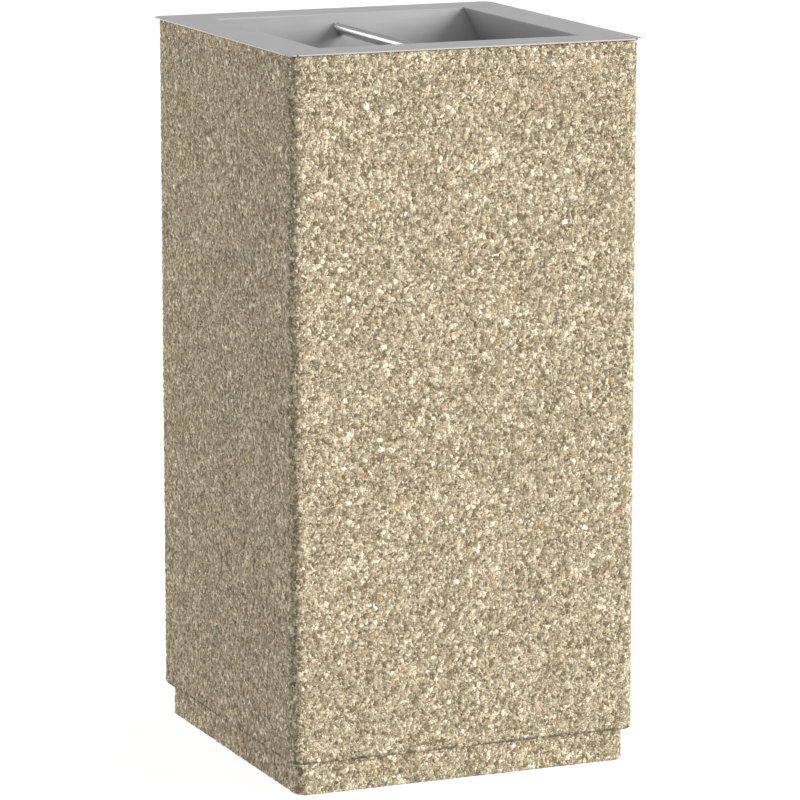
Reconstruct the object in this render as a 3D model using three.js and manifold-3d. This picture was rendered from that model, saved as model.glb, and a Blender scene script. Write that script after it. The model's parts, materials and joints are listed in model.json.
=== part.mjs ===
// Ashtray bin: a square column of exposed-aggregate concrete with a lift-off steel top.
// The top is a flat plate round a V-shaped hopper with a stub-out bar and a slot, and the ash
// falls through the slot into a galvanised bucket that stands inside the hollow concrete.
// Millimetres, +Z up, front is -Y. The origin is on the ground, under the middle of the column.

import * as THREE from 'three';
import { mergeVertices } from 'three/addons/utils/BufferGeometryUtils.js';
import Module from 'manifold-3d';

// Concrete casting
const WIDTH = 400;
const CONCRETE_HEIGHT = 790;
const EDGE_RADIUS = 13;
const PLINTH_HEIGHT = 36;
const PLINTH_INSET = 7.5;
const WALL = 40;
const FLOOR = 60;
const CORE_DRAFT = 7;
const CORE_RADIUS = 18;

// Steel top
const PLATE_THICKNESS = 1.5;
const PLATE_OVERHANG = 3.5;
const PLATE_CORNER = 11;
const OPENING = 300;
const SHEET = 1.5;
const SLOPE_ANGLE = THREE.MathUtils.degToRad(35);
const SLOT_WIDTH = 50;
const SLOT_LENGTH = 230;
const RAMP_ANGLE = THREE.MathUtils.degToRad(45);
const LIP_HEIGHT = 12;
const BAR_RADIUS = 6;
const BAR_OFFSET = -10;
const BAR_DEPTH = 15;
const TAB_LENGTH = 60;
const TAB_HEIGHT = 30;
const TAB_THICKNESS = 2.5;
const TAB_CLEARANCE = 2;

// Bucket and its bail
const BUCKET_SIDE = 250;
const BUCKET_HEIGHT = 480;
const BUCKET_CORNER = 30;
const BUCKET_SHEET = 1;
const BASE_RAISE = 12;
const BEAD_HEIGHT = 7;
const BEAD_REACH = 2.5;
const EAR_LENGTH = 52;
const EAR_HEIGHT = 26;
const EAR_THICKNESS = 3;
const EAR_CORNER = 10;
const PIVOT_BELOW_RIM = 20;
const WIRE_RADIUS = 3;
const PIVOT_CLEARANCE = 0.8;
const RIVET_SPACING = 34;
const RIVET_RADIUS = 2;
const RIVET_HEAD_RADIUS = 4;
const RIVET_HEAD_HEIGHT = 1.4;
const BAIL_CLEARANCE = 0.5;
const BAIL_REACH = 142;
const BAIL_BEND = 22;
const PIN_BEND = 4;
const PIN_INSIDE = 5;
const GRIP_RADIUS = 10;
const GRIP_WAIST = 8.5;
const GRIP_LENGTH = 110;
const GRIP_COLLAR = 5;
const GRIP_EASE = 2;

// Cast-in fittings
const DRAIN_RADIUS = 20;
const ANCHOR_RADIUS = 10;
const ANCHOR_SPACING = 200;
const SLEEVE_WALL = 2;
const SOCKET_RADIUS = 9;
const SOCKET_LENGTH = 70;
const SOCKET_BORE = 5.1;
const SOCKET_BORE_DEPTH = 45;
const SOCKET_FROM_FACE = 21;
const PLUG_LENGTH = 18;
const PLUG_RECESS_RADIUS = 2.6;
const PLUG_RECESS_DEPTH = 3;

// Clearance between pieces that touch
const GAP = 0.3;

// Heights and half widths that several pieces share
const cavityHalf = WIDTH / 2 - WALL;
const plateBottom = CONCRETE_HEIGHT + GAP;
const plateTop = plateBottom + PLATE_THICKNESS;
const hopperTop = plateBottom - GAP;
const slope = Math.tan(SLOPE_ANGLE);
const slotTop = hopperTop - slope * (OPENING - SLOT_WIDTH) / 2;
const slotBottom = slotTop - LIP_HEIGHT;
const bucketBottom = FLOOR + GAP;
const bucketTop = bucketBottom + BUCKET_HEIGHT;
const bucketHalf = BUCKET_SIDE / 2;
const pivotHeight = bucketTop - PIVOT_BELOW_RIM;
const earFace = bucketHalf + GAP + EAR_THICKNESS;
const armX = earFace + GAP + RIVET_HEAD_HEIGHT + BAIL_CLEARANCE + WIRE_RADIUS;

const wasm = await Module();
wasm.setup();

const concrete = new THREE.MeshStandardMaterial({ color: 0xb9ad92, roughness: 0.95, metalness: 0 });
const satinSteel = new THREE.MeshStandardMaterial({ color: 0xacacac, roughness: 0.5, metalness: 0.8 });
const polishedSteel = new THREE.MeshStandardMaterial({ color: 0xd0d0d0, roughness: 0.25, metalness: 1 });
const galvanised = new THREE.MeshStandardMaterial({ color: 0xa9b0b3, roughness: 0.45, metalness: 0.9 });
const zincPlated = new THREE.MeshStandardMaterial({ color: 0xb8b8ae, roughness: 0.35, metalness: 0.9 });
const greyPlastic = new THREE.MeshStandardMaterial({ color: 0x77797a, roughness: 0.6, metalness: 0 });
const blackPlastic = new THREE.MeshStandardMaterial({ color: 0x222222, roughness: 0.55, metalness: 0 });

// ---- Shapes ----

function roundedRectangle(width, depth, radius) {
  const x = width / 2 - radius;
  const y = depth / 2 - radius;
  const outline = new THREE.Shape();
  outline.absarc(x, -y, radius, -Math.PI / 2, 0);
  outline.absarc(x, y, radius, 0, Math.PI / 2);
  outline.absarc(-x, y, radius, Math.PI / 2, Math.PI);
  outline.absarc(-x, -y, radius, Math.PI, Math.PI * 3 / 2);
  outline.closePath();
  return outline;
}

function prism(outline, height, bottom, curveSegments = 6) {
  const geometry = new THREE.ExtrudeGeometry(outline, { depth: height, bevelEnabled: false, curveSegments });
  return geometry.translate(0, 0, bottom);
}

// A prism that narrows evenly towards its bottom, as a mould core does
function taperedPrism(outline, height, bottom, bottomScale) {
  const geometry = prism(outline, height, bottom);
  const position = geometry.attributes.position;
  for (let index = 0; index < position.count; index += 1) {
    const rise = (position.getZ(index) - bottom) / height;
    const scale = bottomScale + (1 - bottomScale) * rise;
    position.setX(index, position.getX(index) * scale);
    position.setY(index, position.getY(index) * scale);
  }
  return geometry;
}

function uprightCylinder(radius, height, x, y, bottom, sides = 24) {
  const geometry = new THREE.CylinderGeometry(radius, radius, height, sides);
  return geometry.rotateX(Math.PI / 2).translate(x, y, bottom + height / 2);
}

function crossCylinder(radius, length, x, y, z, sides = 20) {
  const geometry = new THREE.CylinderGeometry(radius, radius, length, sides);
  return geometry.rotateZ(Math.PI / 2).translate(x, y, z);
}

// A profile of [radius, height] points, turned about the Z axis
function turned(profile, sides = 24) {
  const points = profile.map(([radius, height]) => new THREE.Vector2(radius, height));
  return new THREE.LatheGeometry(points, sides).rotateX(Math.PI / 2);
}

// An outline of [y, z] points as a sheet or bar that runs along X
function alongX(profile, length, startX) {
  const outline = new THREE.Shape(profile.map(([y, z]) => new THREE.Vector2(y, z)));
  const geometry = new THREE.ExtrudeGeometry(outline, { depth: length, bevelEnabled: false });
  return geometry.rotateX(Math.PI / 2).rotateZ(Math.PI / 2).translate(startX, 0, 0);
}

// ---- Booleans ----

function asManifold(geometry) {
  const bare = geometry.clone();
  bare.deleteAttribute('normal');
  bare.deleteAttribute('uv');
  const merged = mergeVertices(bare, 1e-4);
  const vertProperties = merged.attributes.position.array;
  const triVerts = new Uint32Array(merged.index.array);
  return new wasm.Manifold(new wasm.Mesh({ numProp: 3, vertProperties, triVerts }));
}

function asGeometry(manifold) {
  const { vertProperties, triVerts } = manifold.getMesh();
  const geometry = new THREE.BufferGeometry();
  geometry.setAttribute('position', new THREE.BufferAttribute(vertProperties, 3));
  geometry.setIndex(new THREE.BufferAttribute(triVerts, 1));
  geometry.computeVertexNormals();
  return geometry;
}

function joined(first, ...others) {
  const whole = others.reduce((sum, geometry) => sum.add(asManifold(geometry)), asManifold(first));
  return asGeometry(whole);
}

function cut(base, tools) {
  const rest = tools.reduce((sum, tool) => sum.subtract(asManifold(tool)), asManifold(base));
  return asGeometry(rest);
}

function overlapOf(first, second) {
  return asGeometry(asManifold(first).intersect(asManifold(second)));
}

function piece(name, geometry, material) {
  const mesh = new THREE.Mesh(geometry, material.clone());
  mesh.name = name;
  return mesh;
}

// ---- Concrete housing ----

const anchorPlaces = [-ANCHOR_SPACING / 2, ANCHOR_SPACING / 2];
const socketReach = WIDTH / 2 - SOCKET_FROM_FACE;
const socketPlaces = [[-1, -1], [1, -1], [1, 1], [-1, 1]].map(([x, y]) => [x * socketReach, y * socketReach]);

function concreteBody() {
  const plinthSide = WIDTH - 2 * PLINTH_INSET;
  const plinth = prism(roundedRectangle(plinthSide, plinthSide, EDGE_RADIUS), PLINTH_HEIGHT + 1, 0);
  const shaftHeight = CONCRETE_HEIGHT - PLINTH_HEIGHT;
  const shaft = prism(roundedRectangle(WIDTH, WIDTH, EDGE_RADIUS), shaftHeight, PLINTH_HEIGHT);
  const core = taperedPrism(
    roundedRectangle(2 * cavityHalf, 2 * cavityHalf, CORE_RADIUS),
    CONCRETE_HEIGHT - FLOOR,
    FLOOR,
    (cavityHalf - CORE_DRAFT) / cavityHalf,
  );
  const floorHole = (radius, x) => uprightCylinder(radius + GAP, FLOOR + 4, x, 0, -2);
  const pocket = ([x, y]) => {
    const depth = SOCKET_LENGTH + GAP;
    return uprightCylinder(SOCKET_RADIUS + GAP, depth + 1, x, y, CONCRETE_HEIGHT - depth);
  };
  const holes = [
    core,
    floorHole(DRAIN_RADIUS, 0),
    ...anchorPlaces.map((x) => floorHole(ANCHOR_RADIUS, x)),
    ...socketPlaces.map(pocket),
  ];
  return piece('concrete_body', cut(joined(shaft, plinth), holes), concrete);
}

function floorSleeve(name, radius, x) {
  const inner = radius - SLEEVE_WALL;
  const profile = [[inner, 0], [radius, 0], [radius, FLOOR], [inner, FLOOR], [inner, 0]];
  const sleeve = piece(name, turned(profile), greyPlastic);
  sleeve.position.set(x, 0, 0);
  return sleeve;
}

function liftingSocket(name, [x, y]) {
  const boreBottom = SOCKET_LENGTH - SOCKET_BORE_DEPTH;
  const profile = [
    [0, 0],
    [SOCKET_RADIUS, 0],
    [SOCKET_RADIUS, SOCKET_LENGTH],
    [SOCKET_BORE, SOCKET_LENGTH],
    [SOCKET_BORE, boreBottom],
    [0, boreBottom],
  ];
  const socket = piece(name, turned(profile, 18), zincPlated);
  socket.position.set(x, y, CONCRETE_HEIGHT - SOCKET_LENGTH);
  return socket;
}

function socketPlug(name, [x, y]) {
  const radius = SOCKET_BORE - GAP;
  const profile = [
    [0, 0],
    [radius, 0],
    [radius, PLUG_LENGTH],
    [PLUG_RECESS_RADIUS, PLUG_LENGTH],
    [PLUG_RECESS_RADIUS, PLUG_LENGTH - PLUG_RECESS_DEPTH],
    [0, PLUG_LENGTH - PLUG_RECESS_DEPTH],
  ];
  const plug = piece(name, turned(profile, 18), blackPlastic);
  plug.position.set(x, y, CONCRETE_HEIGHT - PLUG_LENGTH);
  return plug;
}

// ---- Steel top ----

function topPlate() {
  const side = WIDTH + 2 * PLATE_OVERHANG;
  const outline = roundedRectangle(side, side, PLATE_CORNER);
  const half = OPENING / 2;
  const corners = [[-half, -half], [-half, half], [half, half], [half, -half]];
  outline.holes.push(new THREE.Path(corners.map(([x, y]) => new THREE.Vector2(x, y))));
  return piece('top_plate', prism(outline, PLATE_THICKNESS, plateBottom), satinSteel);
}

// The outline of a sheet that slopes down to a lip beside the slot: [distance from the middle, height]
function slopeProfile(angle, slotHalf, top) {
  const innerTop = slotHalf + (top - slotTop) / Math.tan(angle);
  return [
    [slotHalf, slotBottom],
    [slotHalf + SHEET, slotBottom],
    [slotHalf + SHEET, slotTop + SHEET * Math.tan(angle) - SHEET / Math.cos(angle)],
    [innerTop + SHEET / Math.sin(angle), top],
    [innerTop, top],
    [slotHalf, slotTop],
  ];
}

function mirrored(profile) {
  return profile.map(([across, height]) => [-across, height]).reverse();
}

// A long slope of the hopper, from the front or back edge of the opening down to the slot
function hopperSlope(name, side) {
  const profile = slopeProfile(SLOPE_ANGLE, SLOT_WIDTH / 2, hopperTop);
  const length = OPENING - 2 * GAP;
  return piece(name, alongX(side > 0 ? profile : mirrored(profile), length, -length / 2), satinSteel);
}

// An upright end of the hopper, cut to the outline of the two long slopes
function hopperEnd(name, side) {
  const outer = slopeProfile(SLOPE_ANGLE, SLOT_WIDTH / 2, hopperTop).slice(1, 4);
  const startX = side > 0 ? OPENING / 2 : -OPENING / 2 - SHEET;
  return piece(name, alongX([...outer, ...mirrored(outer)], SHEET, startX), satinSteel);
}

// A short ramp at one end of the slot, which keeps the ash over the bucket.
// It fits between the two long slopes, a gap clear of each.
function slotRamp(name, side) {
  const outerTop = OPENING / 2 - GAP;
  const innerTop = outerTop - SHEET / Math.sin(RAMP_ANGLE);
  const top = slotTop + Math.tan(RAMP_ANGLE) * (innerTop - SLOT_LENGTH / 2);
  const profile = slopeProfile(RAMP_ANGLE, SLOT_LENGTH / 2, top);
  const ramp = alongX(side > 0 ? mirrored(profile) : profile, OPENING, -OPENING / 2).rotateZ(Math.PI / 2);
  const troughHalf = SLOT_WIDTH / 2 - GAP / Math.sin(SLOPE_ANGLE);
  const troughSide = [
    [troughHalf, slotBottom - 1],
    [troughHalf, slotTop],
    [troughHalf + (hopperTop - slotTop) / slope, hopperTop],
  ];
  const trough = alongX([...troughSide, ...mirrored(troughSide)], OPENING, -OPENING / 2);
  return piece(name, overlapOf(ramp, trough), satinSteel);
}

// A round bar from slope to slope, with its ends cut to the angle of the slopes
function stubOutBar() {
  const height = plateTop - BAR_DEPTH;
  const axisReach = OPENING / 2 - (hopperTop - height) / slope - GAP / Math.sin(SLOPE_ANGLE);
  const geometry = new THREE.CylinderGeometry(BAR_RADIUS, BAR_RADIUS, 2 * axisReach, 32);
  const position = geometry.attributes.position;
  for (let index = 0; index < position.count; index += 1) {
    const y = position.getY(index);
    const upward = position.getZ(index);
    position.setY(index, y + Math.sign(y) * upward / slope);
  }
  return piece('stub_out_bar', geometry.translate(BAR_OFFSET, 0, height), polishedSteel);
}

// A strip under the plate that keeps the top centred in the mouth of the concrete
function locatingTab(name, turn) {
  const outer = cavityHalf - TAB_CLEARANCE;
  const geometry = new THREE.BoxGeometry(TAB_LENGTH, TAB_THICKNESS, TAB_HEIGHT);
  geometry.translate(0, -(outer - TAB_THICKNESS / 2), plateBottom - GAP - TAB_HEIGHT / 2);
  const tab = piece(name, geometry, satinSteel);
  tab.rotation.z = turn * Math.PI / 2;
  return tab;
}

// ---- Ash bucket ----

function rivetPlaces() {
  return [-RIVET_SPACING / 2, RIVET_SPACING / 2];
}

function bucketShell() {
  const outline = roundedRectangle(BUCKET_SIDE, BUCKET_SIDE, BUCKET_CORNER);
  const innerSide = BUCKET_SIDE - 2 * BUCKET_SHEET;
  outline.holes.push(roundedRectangle(innerSide, innerSide, BUCKET_CORNER - BUCKET_SHEET));
  const tube = prism(outline, BUCKET_HEIGHT - BEAD_HEIGHT - GAP, bucketBottom, 8);
  const throughBoth = 2 * BUCKET_SIDE;
  const pivotHole = crossCylinder(WIRE_RADIUS + PIVOT_CLEARANCE, throughBoth, 0, 0, pivotHeight);
  const rivetHoles = rivetPlaces().map((y) => (
    crossCylinder(RIVET_RADIUS + GAP, throughBoth, 0, y, pivotHeight, 16)
  ));
  return piece('bucket_shell', cut(tube, [pivotHole, ...rivetHoles]), galvanised);
}

function bucketBase() {
  const side = BUCKET_SIDE - 2 * BUCKET_SHEET - 2 * GAP;
  const outline = roundedRectangle(side, side, BUCKET_CORNER - BUCKET_SHEET - GAP);
  return piece('bucket_base', prism(outline, BUCKET_SHEET, bucketBottom + BASE_RAISE, 8), galvanised);
}

// The rolled rim: a ring with rounded edges, on top of the shell's wall
function bucketRim() {
  const round = BEAD_REACH;
  const outline = roundedRectangle(BUCKET_SIDE, BUCKET_SIDE, BUCKET_CORNER);
  const innerSide = BUCKET_SIDE - 2 * BUCKET_SHEET;
  outline.holes.push(roundedRectangle(innerSide, innerSide, BUCKET_CORNER - BUCKET_SHEET));
  const geometry = new THREE.ExtrudeGeometry(outline, {
    depth: BEAD_HEIGHT - 2 * round,
    bevelEnabled: true,
    bevelSize: round,
    bevelThickness: round,
    bevelSegments: 3,
    curveSegments: 8,
  });
  return piece('bucket_rim', geometry.translate(0, 0, bucketTop - BEAD_HEIGHT + round), galvanised);
}

function bailEar(name, side) {
  const outline = roundedRectangle(EAR_LENGTH, EAR_HEIGHT, EAR_CORNER);
  const plate = prism(outline, EAR_THICKNESS, 0);
  plate.rotateX(Math.PI / 2).rotateZ(Math.PI / 2);
  plate.translate(side > 0 ? bucketHalf + GAP : -earFace, 0, pivotHeight);
  const middle = side * (bucketHalf + EAR_THICKNESS / 2);
  const pivotHole = crossCylinder(WIRE_RADIUS + PIVOT_CLEARANCE, EAR_THICKNESS * 3, middle, 0, pivotHeight);
  const rivetHoles = rivetPlaces().map((y) => (
    crossCylinder(RIVET_RADIUS + GAP, EAR_THICKNESS * 3, middle, y, pivotHeight, 16)
  ));
  return piece(name, cut(plate, [pivotHole, ...rivetHoles]), zincPlated);
}

// A rivet through an ear and the shell, with a domed head on each side
function earRivet(name, side, y) {
  const shoulderRadius = RIVET_HEAD_RADIUS * Math.SQRT1_2;
  const shoulderHeight = RIVET_HEAD_HEIGHT * Math.SQRT1_2;
  const grip = BUCKET_SHEET + EAR_THICKNESS + 3 * GAP;
  const profile = [
    [0, -RIVET_HEAD_HEIGHT],
    [shoulderRadius, -shoulderHeight],
    [RIVET_HEAD_RADIUS, 0],
    [RIVET_RADIUS, 0],
    [RIVET_RADIUS, grip],
    [RIVET_HEAD_RADIUS, grip],
    [shoulderRadius, grip + shoulderHeight],
    [0, grip + RIVET_HEAD_HEIGHT],
  ];
  const rivet = piece(name, turned(profile, 16), zincPlated);
  rivet.position.set(side * (bucketHalf - BUCKET_SHEET - GAP), y, pivotHeight);
  rivet.rotation.y = side * Math.PI / 2;
  return rivet;
}

// ---- Bail ----

class QuarterBend extends THREE.Curve {
  // A quarter circle from start, leaving along the direction leaving and ending along arriving
  constructor(start, leaving, arriving, radius) {
    super();
    this.start = start;
    this.leaving = leaving;
    this.arriving = arriving;
    this.radius = radius;
  }

  getPoint(t, target = new THREE.Vector3()) {
    const angle = t * Math.PI / 2;
    return target.copy(this.start)
      .addScaledVector(this.leaving, this.radius * Math.sin(angle))
      .addScaledVector(this.arriving, this.radius * (1 - Math.cos(angle)));
  }
}

// The wire's centre line with the bail upright and its pivots on the X axis. It runs from the left
// pin out to the left arm, up and across the top, then down the right arm and in to the right pin.
function bailWirePath() {
  const pinEnd = bucketHalf - BUCKET_SHEET - PIN_INSIDE;
  const up = new THREE.Vector3(0, 0, 1);
  const down = new THREE.Vector3(0, 0, -1);
  const right = new THREE.Vector3(1, 0, 0);
  const left = new THREE.Vector3(-1, 0, 0);
  const at = (x, z) => new THREE.Vector3(x, 0, z);
  const path = new THREE.CurvePath();
  path.add(new THREE.LineCurve3(at(-pinEnd, 0), at(-armX + PIN_BEND, 0)));
  path.add(new QuarterBend(at(-armX + PIN_BEND, 0), left, up, PIN_BEND));
  path.add(new THREE.LineCurve3(at(-armX, PIN_BEND), at(-armX, BAIL_REACH - BAIL_BEND)));
  path.add(new QuarterBend(at(-armX, BAIL_REACH - BAIL_BEND), up, right, BAIL_BEND));
  path.add(new THREE.LineCurve3(at(-armX + BAIL_BEND, BAIL_REACH), at(armX - BAIL_BEND, BAIL_REACH)));
  path.add(new QuarterBend(at(armX - BAIL_BEND, BAIL_REACH), right, down, BAIL_BEND));
  path.add(new THREE.LineCurve3(at(armX, BAIL_REACH - BAIL_BEND), at(armX, PIN_BEND)));
  path.add(new QuarterBend(at(armX, PIN_BEND), down, left, PIN_BEND));
  path.add(new THREE.LineCurve3(at(armX - PIN_BEND, 0), at(pinEnd, 0)));
  return path;
}

function bailWire() {
  const section = new THREE.Shape();
  section.absarc(0, 0, WIRE_RADIUS, 0, Math.PI * 2);
  const geometry = new THREE.ExtrudeGeometry(section, {
    steps: 150,
    curveSegments: 6,
    bevelEnabled: false,
    extrudePath: bailWirePath(),
  });
  return piece('bail_wire', geometry, galvanised);
}

// A moulded tube on the middle of the wire, with a rounded collar at each end
function bailGrip() {
  const bore = WIRE_RADIUS + GAP;
  const half = GRIP_LENGTH / 2;
  const profile = [
    [bore, -half],
    [GRIP_RADIUS - GRIP_EASE, -half],
    [GRIP_RADIUS, -half + GRIP_EASE],
    [GRIP_RADIUS, -half + GRIP_COLLAR],
    [GRIP_WAIST, -half + 2 * GRIP_COLLAR],
    [GRIP_WAIST, half - 2 * GRIP_COLLAR],
    [GRIP_RADIUS, half - GRIP_COLLAR],
    [GRIP_RADIUS, half - GRIP_EASE],
    [GRIP_RADIUS - GRIP_EASE, half],
    [bore, half],
    [bore, -half],
  ];
  const geometry = turned(profile, 24).rotateY(Math.PI / 2).translate(0, 0, BAIL_REACH);
  return piece('bail_grip', geometry, blackPlastic);
}

// The bail at rest has fallen forward until its grip lies against the bucket's front wall
function foldedBail() {
  const reachToWall = bucketHalf + GRIP_RADIUS + BAIL_CLEARANCE;
  const belowLevel = Math.acos(reachToWall / BAIL_REACH);
  const bail = new THREE.Group();
  bail.add(bailWire(), bailGrip());
  bail.rotation.x = Math.PI / 2 + belowLevel;
  bail.position.z = pivotHeight;
  return bail;
}

// ---- Assembly ----

const ashtrayBin = new THREE.Group();

ashtrayBin.add(concreteBody(), floorSleeve('drain_sleeve', DRAIN_RADIUS, 0));
anchorPlaces.forEach((x, index) => {
  ashtrayBin.add(floorSleeve(`anchor_sleeve_${index + 1}`, ANCHOR_RADIUS, x));
});
socketPlaces.forEach((place, index) => {
  ashtrayBin.add(liftingSocket(`lifting_socket_${index + 1}`, place));
  ashtrayBin.add(socketPlug(`socket_plug_${index + 1}`, place));
});

ashtrayBin.add(topPlate(), stubOutBar());
ashtrayBin.add(hopperSlope('hopper_slope_front', -1), hopperSlope('hopper_slope_back', 1));
ashtrayBin.add(hopperEnd('hopper_end_left', -1), hopperEnd('hopper_end_right', 1));
ashtrayBin.add(slotRamp('slot_ramp_left', -1), slotRamp('slot_ramp_right', 1));
['front', 'right', 'back', 'left'].forEach((place, turn) => {
  ashtrayBin.add(locatingTab(`locating_tab_${place}`, turn));
});

ashtrayBin.add(bucketShell(), bucketBase(), bucketRim());
[['left', -1], ['right', 1]].forEach(([place, side]) => {
  ashtrayBin.add(bailEar(`bail_ear_${place}`, side));
  rivetPlaces().forEach((y, index) => {
    ashtrayBin.add(earRivet(`ear_rivet_${place}_${index + 1}`, side, y));
  });
});

ashtrayBin.add(foldedBail());

export default ashtrayBin;
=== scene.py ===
"""Looks of the ashtray bin, around the CAD frame.

The column is exposed-gravel concrete, its loose top is satin steel, and a galvanised ash bucket stands in it.
Metres, +Z up, front is -Y, as in the frame. Every piece rides on a CAD body. Each stands for one CAD node,
and only the welds are extra.
"""

import json
import math

import bmesh
import bpy
import numpy as np
from mathutils import Matrix, Vector


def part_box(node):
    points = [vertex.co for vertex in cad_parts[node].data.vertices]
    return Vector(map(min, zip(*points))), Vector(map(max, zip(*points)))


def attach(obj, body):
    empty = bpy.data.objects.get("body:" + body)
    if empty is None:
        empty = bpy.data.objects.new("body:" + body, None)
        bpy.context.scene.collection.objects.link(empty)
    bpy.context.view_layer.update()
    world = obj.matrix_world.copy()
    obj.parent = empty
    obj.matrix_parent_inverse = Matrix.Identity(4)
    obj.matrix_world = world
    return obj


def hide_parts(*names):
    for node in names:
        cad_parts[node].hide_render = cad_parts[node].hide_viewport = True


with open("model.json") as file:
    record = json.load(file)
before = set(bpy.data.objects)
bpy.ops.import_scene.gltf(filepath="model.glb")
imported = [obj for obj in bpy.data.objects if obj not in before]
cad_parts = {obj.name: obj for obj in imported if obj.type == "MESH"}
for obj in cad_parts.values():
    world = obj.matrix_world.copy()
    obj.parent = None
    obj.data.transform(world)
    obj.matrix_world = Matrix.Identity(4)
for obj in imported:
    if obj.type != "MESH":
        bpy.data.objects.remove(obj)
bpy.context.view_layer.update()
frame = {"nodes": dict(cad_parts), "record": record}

MM = 0.001

# Concrete casting, as the CAD body has it
PLINTH_HEIGHT = 36 * MM
PLINTH_INSET = 7.5 * MM
EDGE_RADIUS = 13 * MM
WALL = 40 * MM
FLOOR = 60 * MM
CORE_DRAFT = 7 * MM
CORE_RADIUS = 18 * MM
ARRIS = 1.2 * MM
GRAVEL_SPACING = 2.2 * MM
GRAVEL_RELIEF = 1.6 * MM
GRAVEL_LEVEL = 0.62
DRAIN_RADIUS = 20.3 * MM
ANCHOR_RADIUS = 10.3 * MM
ANCHOR_OFFSET = 100 * MM
SOCKET_RADIUS = 9.3 * MM
SOCKET_OFFSET = 179 * MM
SOCKET_DEPTH = 70.3 * MM

# Steel top
PLATE_EASE = 0.25 * MM
PLATE_CORNER = 11 * MM
OPENING_HALF = 150 * MM
INNER_CORNER = 0.3 * MM
SHEET = 1.5 * MM
SLOPE = math.tan(math.radians(35))
SLOT_HALF_WIDTH = 25 * MM
SLOT_HALF_LENGTH = 115 * MM
SHEET_EASE = 0.15 * MM
TAB_EASE = 0.4 * MM
# The hopper's steel gets darker towards the bottom, over this depth below its top
DARKENING_DEPTH = 60 * MM
DARKENING_DRIFT = 12 * MM
DARKEST_VALUE = 0.5
WELD_RADIUS = 0.8 * MM
WELD_PITCH = 1.8 * MM
WELD_STEPS = 4
WELD_DROP = 0.35

# Bucket, its bail and their fittings
BUCKET_CORNER = 30 * MM
BUCKET_SHEET = 1 * MM
GROOVE_HEIGHTS = (150 * MM, 430 * MM)
GROOVE_DEPTH = 2.2 * MM
GROOVE_HALF = 4 * MM
PAN_PRESS = 2.5 * MM
PAN_FLANGE = 8 * MM
PAN_BEND = 1 * MM
PAN_RIM = 22 * MM
PAN_SLOPE = 4 * MM
PAN_LEAST_CORNER = 3 * MM
PIN_HOLE = 3.8 * MM
RIVET_HOLE = 2.3 * MM
RIVET_REACH = 17 * MM
RIVET_RADIUS = 2 * MM
HEAD_RADIUS = 4 * MM
HEAD_HEIGHT = 1.4 * MM
EAR_EASE = 0.5 * MM
WIRE_RADIUS = 3 * MM
PIVOT_BELOW_RIM = 20 * MM
ARM_HALF = 133.5 * MM
PIN_HALF = 119 * MM
PIN_BEND = 4 * MM
PIN_TAPER = 0.75
BAIL_REACH = 142 * MM
BAIL_BEND = 22 * MM
GRIP_RADIUS = 10 * MM
GRIP_WAIST = 8.5 * MM
GRIP_HALF = 55 * MM
GRIP_COLLAR = 5 * MM
GRIP_EASE = 2 * MM
GRIP_BORE = WIRE_RADIUS + 0.3 * MM
GRIP_RIBS = 9
RIB_RISE = 1.2 * MM
BAIL_CLEARANCE = 0.5 * MM

# Cast-in fittings
SLEEVE_WALL = 2 * MM
FITTING_EASE = 0.5 * MM
SOCKET_BORE = 5.1 * MM
SOCKET_BORE_DEPTH = 45 * MM
SOCKET_CHAMFER = 1 * MM
THREAD_PITCH = 1.75 * MM
THREAD_DEPTH = 0.5 * MM
THREAD_START = 0.7 * MM
THREAD_RUN_OUT = 3 * MM
PLUG_RECESS = 2.6 * MM
PLUG_RECESS_DEPTH = 3 * MM

# Mesh clean-up
MERGE_DISTANCE = 0.001 * MM
CAD_MERGE_DISTANCE = 0.01 * MM
FLAT_ANGLE = math.radians(0.5)
SHARP_ANGLE = math.radians(30)

# Which body each CAD node belongs to
BODY_OF = {node: body for body, nodes in frame["record"]["behaviour"]["bodies"].items() for node in nodes}

# Camera: the target is the point of the view's axis nearest the middle of the column
VIEW_AZIMUTH = math.radians(23.087)
VIEW_ELEVATION = math.radians(10.91)
VIEW_DISTANCE = 5.1226
VIEW_TARGET = Vector((0.0062, -0.0028, 0.3804))
LENS = 209.68


# ---- Node helpers ----

def add(tree, kind, inputs=(), **settings):
    """A new node, with its settings, and with its inputs set to values or linked to sockets."""
    node = tree.nodes.new(kind)
    for name, value in settings.items():
        setattr(node, name, value)
    for key, value in dict(inputs).items():
        if isinstance(value, bpy.types.NodeSocket):
            tree.links.new(value, node.inputs[key])
        else:
            node.inputs[key].default_value = value
    return node


def maths(tree, operation, *values):
    return add(tree, "ShaderNodeMath", enumerate(values), operation=operation).outputs[0]


def remap(tree, value, low, high, to_low=0.0, to_high=1.0, interpolation="SMOOTHSTEP"):
    inputs = {"Value": value, "From Min": low, "From Max": high, "To Min": to_low, "To Max": to_high}
    return add(tree, "ShaderNodeMapRange", inputs, interpolation_type=interpolation).outputs["Result"]


def blended(tree, factor, first, second, blend_type="MIX"):
    inputs = {0: factor, 6: first, 7: second}
    return add(tree, "ShaderNodeMix", inputs, data_type="RGBA", blend_type=blend_type).outputs[2]


def noise(tree, place, scale, detail=2.0, roughness=0.5):
    inputs = {"Vector": place, "Scale": scale, "Detail": detail, "Roughness": roughness}
    return add(tree, "ShaderNodeTexNoise", inputs)


def cells(tree, place, scale, feature="F1"):
    """Voronoi cells, scale of them to a metre."""
    return add(tree, "ShaderNodeTexVoronoi", {"Vector": place, "Scale": scale}, feature=feature)


def shaded(tree, colour, value, hue=0.5):
    """A colour with its value multiplied and its hue turned, where 0.5 leaves the hue alone."""
    inputs = {"Color": colour, "Value": value, "Hue": hue}
    return add(tree, "ShaderNodeHueSaturation", inputs).outputs["Color"]


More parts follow.
